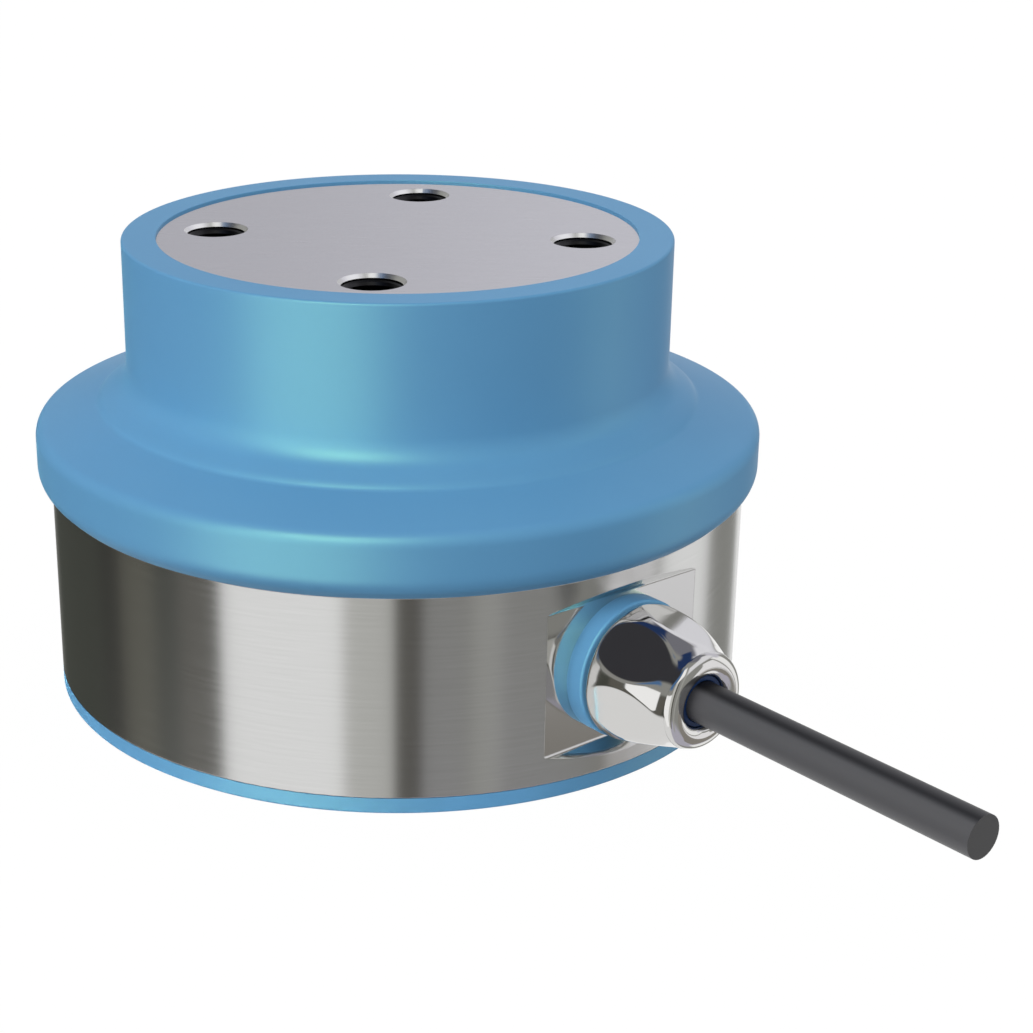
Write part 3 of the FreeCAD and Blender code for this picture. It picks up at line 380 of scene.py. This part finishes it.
def brushed_plate():
    """Stainless steel brushed one way along X. The fine grain spreads highlights across it, and is
    drawn coarser than it is, so that it shows. The holes' thread is a relief of rings, and its
    height is worked out in metres, so its Distance is 1."""
    material, tree, place = start_material("brushed_stainless_plate")
    height = add_node(tree, "SeparateXYZ", {}, {0: place}).outputs["Z"]
    countersunk = add_node(tree, "Math", {"operation": "LESS_THAN"}, {
        0: height, 1: (plate_high.z - FACE_SKIN) * MM})
    bore_with_painted_shade = add_node(tree, "Math", {"operation": "LESS_THAN"}, {
        0: height, 1: (plate_high.z - BORE_SHADE_DEPTH) * MM})
    # The countersinks are fresh-cut metal, and their near-white colour is also a painted highlight.
    faced = add_node(tree, "Mix", {"data_type": "RGBA"}, {
        "Factor": countersunk, "A": colour("#D4D3D7"), "B": colour("#FAFAFA")})
    # painted shade: the bores are painted near-black below the countersinks
    base = add_node(tree, "Mix", {"data_type": "RGBA"}, {
        "Factor": bore_with_painted_shade, "A": faced, "B": colour("#3A3A3C")})
    hairs_at = add_node(tree, "VectorMath", {"operation": "MULTIPLY"}, {
        0: place, 1: (1 / (HAIR_LENGTH * MM), 1 / (HAIR_WIDTH * MM), 1 / (HAIR_WIDTH * MM))})
    hairs = add_node(tree, "TexNoise", {}, {
        "Vector": hairs_at, "Scale": 1, "Detail": 4, "Roughness": 0.65})
    hazy = add_node(tree, "MapRange", {}, {"Value": hairs, "To Min": 0.20, "To Max": 0.40})
    roughness = add_node(tree, "Mix", {}, {"Factor": countersunk, "A": hazy, "B": 0.30})
    across = add_node(tree, "CombineXYZ", {}, {"Y": 1})
    brushed = add_node(tree, "Bump", {}, {
        "Height": hairs, "Strength": 0.35, "Distance": 0.01 * MM})
    thread = add_node(tree, "Math", {"operation": "PINGPONG"}, {
        0: height, 1: THREAD_PITCH / 2 * MM})
    threaded = add_node(tree, "Bump", {}, {
        "Height": thread, "Strength": bore_with_painted_shade, "Distance": 1, "Normal": brushed})
    shader = add_node(tree, "BsdfPrincipled", {}, {
        "Base Color": base, "Metallic": 1, "Roughness": roughness, "Anisotropic": 0.55,
        "Tangent": across, "Normal": threaded})
    add_node(tree, "OutputMaterial", {}, {"Surface": shader})
    return material


dress("load_plate", brushed_plate())

# Cable gland
# A silicone ring seals the gland to the body. The domed cap is polished stainless, with six leaning
# spanner flats, and squeezes a dark blue silicone sleeve round the cable.
gland_turn = OUTWARD.to_track_quat("Z", "Y").to_matrix().to_4x4()
gland_place = Matrix.Translation((0, 0, GLAND_LEVEL)) @ gland_turn
POCKET_FLAT = 43.4
GASKET_RADIUS = 8.58
GLAND_THREAD_RADIUS = 6.0
CAP_BACK = 45.85
CAP_FRONT = 57.8
CAP_RADIUS = 8.45
DOME_START = 4.77
WAIST_AT = 10.05
WAIST_RADIUS = 6.08
RIM_RADIUS = 5.8
CABLE_HOLE_RADIUS = 3.2
CAP_BORE_RADIUS = 5.4
SECTOR = math.radians(60)
FLAT_RADIUS_AT_BACK = 8.35
FLAT_FALL = math.tan(math.radians(12.7))
FLAT_TURN = math.radians(13.5)
FLAT_EDGE_ROUND = 0.16
SEAL_BORE_RADIUS = CABLE_RADIUS / MM
SEAL_RADIUS = 4.2
SEAL_BACK = 48.5
SEAL_FRONT = 54.0
SEAL_NOSE_RADIUS = 3.15
SEAL_NOSE_FRONT = 57.0
WHEEL_TRACE = 2.2


def polished_stainless():
    """Stainless steel buffed to a mirror. A trace of the wheel left in it hazes what it mirrors."""
    material, tree, place = start_material("polished_stainless_cap")
    haze = add_node(tree, "TexNoise", {}, {
        "Vector": place, "Scale": 1 / (WHEEL_TRACE * MM), "Detail": 3})
    roughness = add_node(tree, "MapRange", {}, {"Value": haze, "To Min": 0.05, "To Max": 0.10})
    bump = add_node(tree, "Bump", {}, {
        "Height": haze, "Strength": 0.05, "Distance": 0.01 * MM})
    shader = add_node(tree, "BsdfPrincipled", {}, {
        "Base Color": colour("#E2E1DF"), "Metallic": 1, "Roughness": roughness, "Normal": bump})
    add_node(tree, "OutputMaterial", {}, {"Surface": shader})
    return material


def dark_silicone():
    """Moulded silicone in a deep blue, matt and soft edged. Its grain is drawn coarser than it is,
    so that it shows."""
    material, tree, place = start_material("moulded_dark_blue_silicone")
    grain = add_node(tree, "TexNoise", {}, {
        "Vector": place, "Scale": 1 / (MOULD_GRAIN * MM), "Detail": 2})
    base = add_node(tree, "Mix", {"data_type": "RGBA"}, {
        "Factor": grain, "A": colour("#14305C"), "B": colour("#183868")})
    bump = add_node(tree, "Bump", {}, {
        "Height": grain, "Strength": 0.12, "Distance": 0.02 * MM})
    shader = add_node(tree, "BsdfPrincipled", {}, {
        "Base Color": base, "Roughness": 0.48, "IOR": 1.41, "Normal": bump})
    add_node(tree, "OutputMaterial", {}, {"Surface": shader})
    return material


def spanner_flats(radius, height, angle):
    """Radius left at one spot of the dome by the six leaning flats, with their edges softened."""
    from_flat = (angle - FLAT_TURN + SECTOR / 2) % SECTOR - SECTOR / 2
    flat = (FLAT_RADIUS_AT_BACK - (height - CAP_BACK) * FLAT_FALL) / math.cos(from_flat)
    softened = max(FLAT_EDGE_ROUND - abs(radius - flat), 0) / FLAT_EDGE_ROUND
    return min(radius, flat) - softened * softened * FLAT_EDGE_ROUND / 4


gland_gasket = turned("gland_ring", rounded_outline([
    (GLAND_THREAD_RADIUS, POCKET_FLAT), (GASKET_RADIUS, POCKET_FLAT),
    (GASKET_RADIUS, CAP_BACK, 0.3), (GLAND_THREAD_RADIUS, CAP_BACK)]),
    silicone, segments=180, place=gland_place)
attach(gland_gasket, "root")
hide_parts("gland_gasket")

cap_steel = polished_stainless()
gland_cap = turned("gland_cap_polished", rounded_outline([
    (CAP_RADIUS, CAP_BACK, 1.0), (CAP_RADIUS, CAP_BACK + DOME_START, 15.4),
    (WAIST_RADIUS, CAP_BACK + WAIST_AT, 6.0), (RIM_RADIUS, CAP_FRONT, 1.5),
    (CABLE_HOLE_RADIUS, CAP_FRONT, 1.05), (CABLE_HOLE_RADIUS, SEAL_FRONT),
    (CAP_BORE_RADIUS, SEAL_FRONT), (CAP_BORE_RADIUS, CAP_BACK)], finest=0.14),
    cap_steel, segments=420, place=gland_place, milled=spanner_flats)
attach(gland_cap, "root")
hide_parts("gland_cap")

seal_silicone = dark_silicone()
gland_seal = turned("gland_seal_sleeve", rounded_outline([
    (SEAL_BORE_RADIUS, SEAL_BACK), (SEAL_RADIUS, SEAL_BACK), (SEAL_RADIUS, SEAL_FRONT),
    (SEAL_NOSE_RADIUS, SEAL_FRONT), (SEAL_NOSE_RADIUS, SEAL_NOSE_FRONT, 0.25),
    (SEAL_BORE_RADIUS, SEAL_NOSE_FRONT, 0.2)]), seal_silicone, segments=120, place=gland_place)
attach(gland_seal, "root")
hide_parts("gland_seal")
dress("gland_body", cap_steel)
dress("cap_seal", seal_silicone)

# Screws and seals
# Stainless socket head screws hold the beam to the floor from underneath, over silicone washers. A
# set screw beside them stops the beam from bending too far.
SCREW_MARK = 0.5


def machined_screw():
    """Stainless screw steel, cold headed and lightly worn. Random marks blur what it mirrors."""
    material, tree, place = start_material("machined_screw_steel")
    marks = add_node(tree, "TexNoise", {}, {
        "Vector": place, "Scale": 1 / (SCREW_MARK * MM), "Detail": 4})
    roughness = add_node(tree, "MapRange", {}, {"Value": marks, "To Min": 0.26, "To Max": 0.40})
    bump = add_node(tree, "Bump", {}, {
        "Height": marks, "Strength": 0.1, "Distance": 0.01 * MM})
    shader = add_node(tree, "BsdfPrincipled", {}, {
        "Base Color": colour("#BEBEC0"), "Metallic": 1, "Roughness": roughness, "Normal": bump})
    add_node(tree, "OutputMaterial", {}, {"Surface": shader})
    return material


screw_steel = machined_screw()
for node in ("beam_screws", "stop_screw", "cover_screws", "carrier_screws", "plate_screws",
             "board_screws", "terminal_screws"):
    dress(node, screw_steel)
dress("beam_screw_seals", seal_silicone)

# Inside the sealed body
# The measuring beam, its load carrier and the clamping ring are the same stainless as the body. The
# circuit board stands on brass spacers, with a terminal block for the cable's cores.
# finish: two shades, middle roughness, metallic, size of its grain in mm, the pieces that have it
INNER_FINISHES = {
    # amber film with a satin face
    "polyimide_gauge_film": (("#B87A2A", "#C98E3C"), 0.35, 0, 0.5, (
        "strain_gauge_top_fixed_end", "strain_gauge_bottom_fixed_end",
        "strain_gauge_top_free_end", "strain_gauge_bottom_free_end")),
    # printed lacquer, smooth and a little glossy
    "green_solder_mask": (("#14542C", "#1A6234"), 0.30, 0, 1.2, ("circuit_board",)),
    # warm yellow metal with fine tool marks
    "turned_brass": (("#C7A257", "#D6B468"), 0.28, 1, 0.2, ("board_spacers",)),
    # plain moulded plastic, satin
    "moulded_green_polyamide": (("#1F6B3A", "#257543"), 0.45, 0, 0.4, ("terminal_block",)),
    # fine matt grain of the mould
    "moulded_black_epoxy": (("#18181A", "#202022"), 0.55, 0, 0.2, (
        "amplifier_chip", "converter_chip", "trim_resistors")),
    # soft extruded plastic, smooth and satin
    "red_core_insulation": (("#A3261F", "#B03028"), 0.35, 0, 0.4, (
        "cable_cores", "gauge_leads")),
}
ROUGHNESS_SPREAD = 0.05


def speckled_finish(name, shades, middle, metallic, grain_mm):
    """Plain finish of an inner piece: two close shades and a fine grain that varies its gloss."""
    material, tree, place = start_material(name)
    grain = add_node(tree, "TexNoise", {}, {
        "Vector": place, "Scale": 1 / (grain_mm * MM), "Detail": 3})
    base = add_node(tree, "Mix", {"data_type": "RGBA"}, {
        "Factor": grain, "A": colour(shades[0]), "B": colour(shades[1])})
    roughness = add_node(tree, "MapRange", {}, {
        "Value": grain, "To Min": middle - ROUGHNESS_SPREAD, "To Max": middle + ROUGHNESS_SPREAD})
    bump = add_node(tree, "Bump", {}, {
        "Height": grain, "Strength": 0.1, "Distance": 0.02 * MM})
    shader = add_node(tree, "BsdfPrincipled", {}, {
        "Base Color": base, "Metallic": metallic, "Roughness": roughness, "Normal": bump})
    add_node(tree, "OutputMaterial", {}, {"Surface": shader})
    return material


for node in ("beam", "load_carrier", "cover_ring"):
    dress(node, body_steel)
for name, (*look, nodes) in INNER_FINISHES.items():
    finish = speckled_finish(name, *look)
    for node in nodes:
        dress(node, finish)

# Studio
# A white table in a white room. Pale and dark cards stand all round and show only as reflections. A
# soft key light comes from the front left, a low fill lifts the two lower silicone rings, and three
# strips give the silicone its sheen.
TABLE_HALF_WIDTH = 3.0
TABLE_DROP = 0.02
TABLE_GREY = 0.36
TABLE_GLOW = 1.03
TABLE_GLOW_SHARE = 0.96
ROOM_SHADE = "#8F8F8B"
# azimuth of the middle, half width, lowest and highest elevation, softness of the edges, shade
CARDS = (
    (-60, 85, -91, -36, 12, "#B2B0BC"), (165, 100, -91, -36, 12, "#E4E4E4"),
    (83, 20.5, -60, 4, 6, "#F8F8F8"), (92, 30, 8, 48, 8, "#C9C9CF"),
    (71, 18, 10, 60, 14, "#E4E4EA"), (161, 51, -36, 8, 10, "#464842"),
    (162, 6, -36, 8, 5, "#3B3B37"), (176, 8, -36, 8, 5, "#626158"),
    (-158, 7, -36, 8, 5, "#5E5C56"), (-127.5, 21.5, -50, 14, 1.5, "#FFFFFF"),
    (-98.5, 9, -50, 50, 5, "#C8C8C4"), (-86.5, 4.5, -50, 50, 3, "#56544E"),
    (-61, 5, -50, 50, 6, "#A4A4A0"), (19, 14, -60, 30, 5, "#F8F8F8"),
    (36, 20, 20, 48, 8, "#CAC9D2"), (-9, 10, -24.8, 20, 1.5, "#EFEEF0"),
    (-9, 10, -50, -25, 1, "#8A8680"), (180, 60, 40, 66, 12, "#36363A"),
    (35, 50, 52, 86, 10, "#76767E"), (125, 62, 60, 82, 8, "#22355C"),
    (-132, 12, 26, 80, 8, "#4F719B"), (-14, 42, 32, 58, 8, "#E6E6EA"),
    (-90, 22, 40, 70, 8, "#FFFFFF"))
REFLECTED_STRENGTH = 1.05
AMBIENT = "#FAFAFA"
# azimuth, elevation, width and height in metres, watts
KEY_LIGHT = (-140, 12, 0.5, 0.5, 3)
LOW_FILL = (-135, -6, 0.5, 0.5, 6)
SHEEN_STRIPS = ((-124, 0, 0.95, 1.7, 118), (-114, 44, 0.5, 0.5, 62), (2, 0, 0.35, 1.7, 8))
SHEEN_TINT = "#F8FFD8"


def studio_world():
    """Plain light for matt surfaces, cards for shiny ones, white for the camera."""
    world = bpy.data.worlds.new("studio")
    bpy.context.scene.world = world
    world.use_nodes = True
    tree = world.node_tree
    tree.nodes.clear()
    direction = add_node(tree, "TexCoord", {}, {}).outputs["Generated"]
    level = add_node(tree, "VectorMath", {"operation": "MULTIPLY"}, {0: direction, 1: (1, 1, 0)})
    heading = add_node(tree, "VectorMath", {"operation": "NORMALIZE"}, {0: level})
    height = add_node(tree, "SeparateXYZ", {}, {0: direction}).outputs["Z"]
    elevation = add_node(tree, "Math", {"operation": "ARCSINE"}, {0: height})
    shade = colour(ROOM_SHADE)
    for azimuth, half_width, low, high, softness, card_shade in CARDS:
        turn = math.radians(azimuth)
        facing = add_node(tree, "VectorMath", {"operation": "DOT_PRODUCT"}, {
            0: heading, 1: (math.cos(turn), math.sin(turn), 0)})
        aside = add_node(tree, "Math", {"operation": "ARCCOSINE"}, {0: facing})
        across, over, under = (
            add_node(tree, "MapRange", {"interpolation_type": "SMOOTHSTEP"}, {
                "Value": angle, "From Min": math.radians(edge + way_out * softness / 2),
                "From Max": math.radians(edge - way_out * softness / 2)})
            for angle, edge, way_out in (
                (aside, half_width, 1), (elevation, low, -1), (elevation, high, 1)))
        upright = add_node(tree, "Math", {"operation": "MULTIPLY"}, {0: over, 1: under})
        on_card = add_node(tree, "Math", {"operation": "MULTIPLY"}, {0: across, 1: upright})
        shade = add_node(tree, "Mix", {"data_type": "RGBA"}, {
            "Factor": on_card, "A": shade, "B": colour(card_shade)})
    rays = add_node(tree, "LightPath", {}, {}).outputs
    mirrored = add_node(tree, "Math", {"operation": "MAXIMUM"}, {
        0: rays["Is Glossy Ray"], 1: rays["Is Transmission Ray"]})
    lit = add_node(tree, "Mix", {"data_type": "RGBA"}, {
        "Factor": mirrored, "A": colour(AMBIENT), "B": shade})
    seen = add_node(tree, "Mix", {"data_type": "RGBA"}, {
        "Factor": rays["Is Camera Ray"], "A": lit, "B": colour("#FFFFFF")})
    strength = add_node(tree, "Mix", {}, {"Factor": mirrored, "A": 1, "B": REFLECTED_STRENGTH})
    background = add_node(tree, "Background", {}, {"Color": seen, "Strength": strength})
    add_node(tree, "OutputWorld", {}, {"Surface": background})


def white_table():
    """White laminate that reads as pure white in the picture and keeps a trace of the shadow."""
    material = bpy.data.materials.new("white_table")
    material.use_nodes = True
    tree = material.node_tree
    tree.nodes.clear()
    rays = add_node(tree, "LightPath", {}, {}).outputs
    surface = add_node(tree, "BsdfDiffuse", {}, {"Color": (*[TABLE_GREY] * 3, 1)})
    glow = add_node(tree, "Emission", {}, {"Strength": TABLE_GLOW})
    share = add_node(tree, "Math", {"operation": "MULTIPLY"}, {
        0: rays["Is Camera Ray"], 1: TABLE_GLOW_SHARE})
    mixed = add_node(tree, "MixShader", {}, {0: share, 1: surface, 2: glow})
    add_node(tree, "OutputMaterial", {}, {"Surface": mixed})
    return material


def soft_box(name, azimuth, elevation, width, height, watts, tint="#FFFFFF"):
    """Soft box a metre away, aimed at the cell."""
    lamp = bpy.data.lights.new(name, "AREA")
    lamp.shape = "RECTANGLE"
    lamp.size, lamp.size_y = width, height
    lamp.energy = watts
    lamp.color = colour(tint)[:3]
    light = bpy.data.objects.new(name, lamp)
    bpy.context.scene.collection.objects.link(light)
    turn, rise = math.radians(azimuth), math.radians(elevation)
    level = Vector((math.cos(turn), math.sin(turn), 0))
    away = level * math.cos(rise) + UP * math.sin(rise)
    light.location = away + Vector((0, 0, GLAND_LEVEL))
    light.rotation_euler = away.to_track_quat("Z", "Y").to_euler()
    light.visible_camera = False
    return light


def reach_only(light, pieces):
    """The light falls on this collection's pieces alone, and only they shade each other from it."""
    light.light_linking.receiver_collection = pieces
    light.light_linking.blocker_collection = pieces


# The boot's bright underside would stand as a white streak in the cap, so the steel doesn't mirror
# it, nor the table.
boot.visible_glossy = False
studio_world()
table_mesh = bmesh.new()
table_mesh.faces.new([
    table_mesh.verts.new((x * TABLE_HALF_WIDTH, y * TABLE_HALF_WIDTH, -TABLE_DROP * MM))
    for x, y in ((-1, -1), (1, -1), (1, 1), (-1, 1))])
table = add_piece("table", table_mesh, white_table())
table.visible_glossy = False

soft_pieces, low_pieces = (bpy.data.collections.new(name) for name in ("soft_pieces", "low_pieces"))
for piece in (boot, foot_ring, gland_gasket):
    soft_pieces.objects.link(piece)
for piece in (foot_ring, gland_gasket):
    low_pieces.objects.link(piece)
key_light = soft_box("key_light", *KEY_LIGHT)
key_light.visible_glossy = False
low_fill = soft_box("low_fill", *LOW_FILL)
low_fill.visible_glossy = False
reach_only(low_fill, low_pieces)
for number, strip in enumerate(SHEEN_STRIPS):
    light = soft_box(f"sheen_strip_{number + 1}", *strip, SHEEN_TINT)
    light.visible_diffuse = False
    reach_only(light, soft_pieces)
